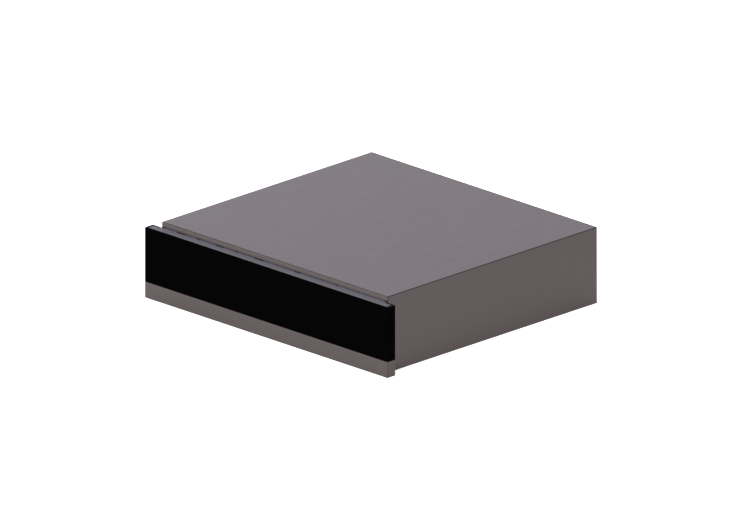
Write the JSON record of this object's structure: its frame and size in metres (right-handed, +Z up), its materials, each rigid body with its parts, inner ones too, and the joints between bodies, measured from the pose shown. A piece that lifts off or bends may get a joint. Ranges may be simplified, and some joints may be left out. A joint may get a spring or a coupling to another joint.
{
  "type": "built-in warming drawer",
  "caption": "Low built-in warming drawer with a black glass front over a steel trim, in a brushed steel casing.",
  "frame": {"origin": "middle of the whole object's footprint, on its underside", "axes": "+X to the right along the drawer front, +Y to the back, +Z up; the drawer opens towards -Y"},
  "size_m": [0.595, 0.535, 0.14],
  "materials": {
    "brushed_sheet": "brushed stainless sheet, darkened grey",
    "brushed_trim": "brushed stainless trim, darkened grey",
    "control_grey": "blue-grey satin control strip",
    "black_glass": "black-backed tempered glass, polished",
    "black_coat": "black enamelled sheet",
    "galvanised": "galvanised steel sheet with fine spangle",
    "stainless": "bright brushed stainless steel",
    "zinc_plated": "bright zinc-plated steel",
    "mineral_wool": "mineral wool mat",
    "heater_sheath": "heat-blued alloy sheath",
    "laminations": "varnished electrical steel",
    "copper_winding": "enamelled copper winding under tape",
    "board_green": "solder-masked circuit board",
    "dark_plastic": "black glass-filled plastic",
    "white_plastic": "natural acetal",
    "rubber": "soft black rubber",
    "mat_rubber": "dark grey silicone anti-slip mat",
    "wire_red": "silicone wire insulation",
    "lens": "smoked acrylic indicator lens"
  },
  "bodies": {
    "casing": {"cover": "brushed_sheet", "base_pan": "galvanised", "back_panel": "galvanised", "front_frame": "brushed_trim", "side_wall_left": "galvanised", "side_wall_right": "galvanised", "ceiling_plate": "stainless", "base_liner": "stainless", "top_insulation": "mineral_wool", "base_insulation": "mineral_wool", "side_insulation": "mineral_wool", "air_baffle": "stainless", "motor_plate": "galvanised", "heater_element": "heater_sheath", "motor_stator": "laminations", "motor_coil": "copper_winding", "motor_brackets": "zinc_plated", "motor_bolts": "zinc_plated", "temperature_sensors": "white_plastic", "board_tray": "dark_plastic", "power_board": "board_green", "terminal_block": "white_plastic", "cable_bush": "dark_plastic", "runner_outer_left": "zinc_plated", "runner_outer_right": "zinc_plated", "latch_body": "dark_plastic", "back_screws": "zinc_plated", "inner_wiring": "wire_red", "lead_coil": "rubber", "ejector_spring": "stainless"},
    "drawer": {"runner_inner_left": "zinc_plated", "runner_inner_right": "zinc_plated", "drawer_side_left": "stainless", "drawer_side_right": "stainless", "tray": "stainless", "anti_slip_mat": "mat_rubber", "crossbar": "stainless", "stop_buffers": "rubber", "latch_striker": "stainless", "glass_panel": "black_glass", "front_shell": "black_coat", "trim_strip": "brushed_trim", "inner_panel": "stainless", "control_strip": "control_grey", "control_housing": "stainless", "control_board": "board_green", "touch_pads": "rubber", "indicator_lenses": "lens", "front_screws": "zinc_plated", "control_lead": "rubber"},
    "middle_member_left": {"runner_middle_left": "zinc_plated"},
    "middle_member_right": {"runner_middle_right": "zinc_plated"},
    "outer_cage_body_left": {"outer_cage_left": "stainless"},
    "outer_cage_body_right": {"outer_cage_right": "stainless"},
    "inner_cage_body_left": {"inner_cage_left": "stainless"},
    "inner_cage_body_right": {"inner_cage_right": "stainless"},
    "fan_rotor": {"fan_wheel": "zinc_plated", "fan_shaft": "stainless"},
    "hook": {"latch_hook": "white_plastic"},
    "ejector": {"ejector_plunger": "white_plastic"}
  },
  "joints": [
    {"name": "drawer_slide", "type": "slide", "parent": "casing", "child": "drawer", "axis": [0, -1, 0], "range_m": [-0.0018, 0.4], "deforming": ["lead_coil"]},
    {"name": "middle_left_slide", "type": "slide", "parent": "casing", "child": "middle_member_left", "axis": [0, -1, 0], "range_m": [-0.0009, 0.2]},
    {"name": "middle_right_slide", "type": "slide", "parent": "casing", "child": "middle_member_right", "axis": [0, -1, 0], "range_m": [-0.0009, 0.2]},
    {"name": "outer_cage_left_slide", "type": "slide", "parent": "casing", "child": "outer_cage_body_left", "axis": [0, -1, 0], "range_m": [-0.00045, 0.1]},
    {"name": "outer_cage_right_slide", "type": "slide", "parent": "casing", "child": "outer_cage_body_right", "axis": [0, -1, 0], "range_m": [-0.00045, 0.1]},
    {"name": "inner_cage_left_slide", "type": "slide", "parent": "casing", "child": "inner_cage_body_left", "axis": [0, -1, 0], "range_m": [-0.00135, 0.3]},
    {"name": "inner_cage_right_slide", "type": "slide", "parent": "casing", "child": "inner_cage_body_right", "axis": [0, -1, 0], "range_m": [-0.00135, 0.3]},
    {"name": "ejector_slide", "type": "slide", "parent": "casing", "child": "ejector", "axis": [0, -1, 0], "range_m": [-0.00005, 0.012], "deforming": ["ejector_spring"]},
    {"name": "fan_spin", "type": "hinge", "parent": "casing", "child": "fan_rotor", "pos_m": [0, 0.2176, 0.0718], "axis": [0, 1, 0], "continuous": true},
    {"name": "latch_hook_swing", "type": "hinge", "parent": "casing", "child": "hook", "pos_m": [0.013, 0.1668, 0.0155], "axis": [0, 0, 1], "range_deg": [-30, 0]}
  ],
  "couplings": [
    {"joint": "middle_left_slide", "follows": "drawer_slide", "ratio": 0.5},
    {"joint": "middle_right_slide", "follows": "drawer_slide", "ratio": 0.5},
    {"joint": "outer_cage_left_slide", "follows": "drawer_slide", "ratio": 0.25},
    {"joint": "outer_cage_right_slide", "follows": "drawer_slide", "ratio": 0.25},
    {"joint": "inner_cage_left_slide", "follows": "drawer_slide", "ratio": 0.75},
    {"joint": "inner_cage_right_slide", "follows": "drawer_slide", "ratio": 0.75},
    {"joint": "ejector_slide", "follows": "drawer_slide", "ratio": 0.03}
  ]
}
